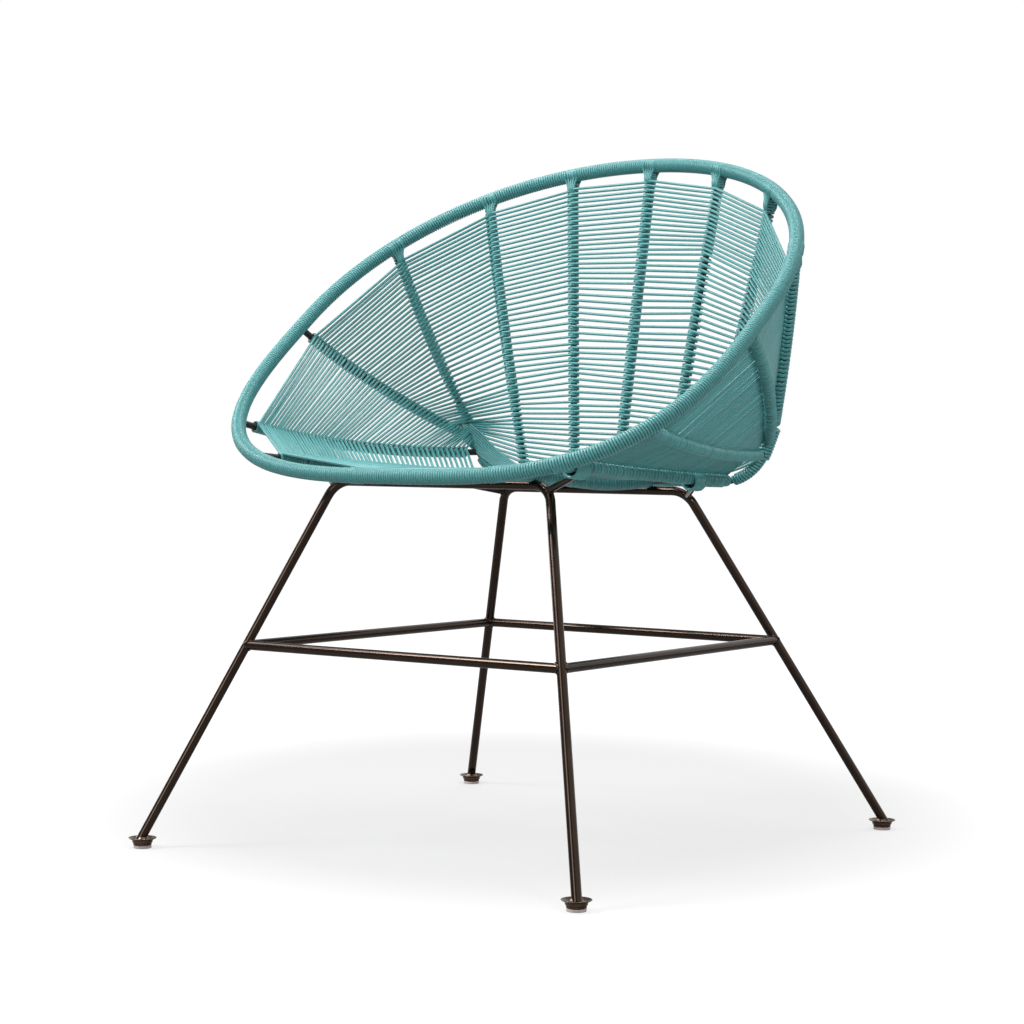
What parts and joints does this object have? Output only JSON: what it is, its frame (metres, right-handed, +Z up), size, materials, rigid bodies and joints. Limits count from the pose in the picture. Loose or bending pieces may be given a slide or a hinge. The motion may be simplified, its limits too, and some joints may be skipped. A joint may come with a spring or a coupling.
{
  "type": "acapulco chair",
  "caption": "Bucket chair with a tilted oval rim hoop, cord rows woven between its ribs, and a bent rod base with splayed legs and flanged feet.",
  "frame": {"origin": "on the floor, under the middle of the chair", "axes": "+Z up, the sitter faces -Y, +X to the right as seen from the front"},
  "size_m": [0.6814, 0.686, 0.828],
  "materials": {
    "cord": "matt extruded cord, teal",
    "core_rod": "satin dark paint",
    "frame_paint": "satin dark bronze powder coat",
    "pad": "matt moulded plastic"
  },
  "bodies": {
    "root": {"front_leg_frame": "frame_paint", "back_leg_frame": "frame_paint", "front_stretcher": "frame_paint", "back_stretcher": "frame_paint", "left_stretcher": "frame_paint", "right_stretcher": "frame_paint", "foot_cup_front_left": "frame_paint", "foot_pad_front_left": "pad", "foot_cup_front_right": "frame_paint", "foot_pad_front_right": "pad", "foot_cup_back_left": "frame_paint", "foot_pad_back_left": "pad", "foot_cup_back_right": "frame_paint", "foot_pad_back_right": "pad", "seat_bar": "core_rod", "rib_01": "core_rod", "rib_02": "core_rod", "rib_03": "core_rod", "rib_04": "core_rod", "rib_05": "core_rod", "rib_06": "core_rod", "rib_07": "core_rod", "rib_08": "core_rod", "rib_09": "core_rod", "rib_10": "core_rod", "rib_11": "core_rod", "rib_12": "core_rod", "rib_13": "core_rod", "rib_14": "core_rod", "rib_15": "core_rod", "seat_standoff_front_left": "frame_paint", "seat_standoff_front_right": "frame_paint", "seat_standoff_back_left": "frame_paint", "seat_standoff_back_right": "frame_paint", "rim_hoop": "core_rod", "rim_winding": "cord", "seat_bar_winding": "cord", "woven_panel_01": "cord", "woven_panel_02": "cord", "woven_panel_03": "cord", "woven_panel_04": "cord", "woven_panel_05": "cord", "woven_panel_06": "cord", "woven_panel_07": "cord", "woven_panel_08": "cord", "woven_panel_09": "cord", "woven_panel_10": "cord", "woven_panel_11": "cord", "woven_panel_12": "cord", "woven_panel_13": "cord", "woven_panel_14": "cord", "woven_panel_15": "cord"}
  },
  "joints": []
}
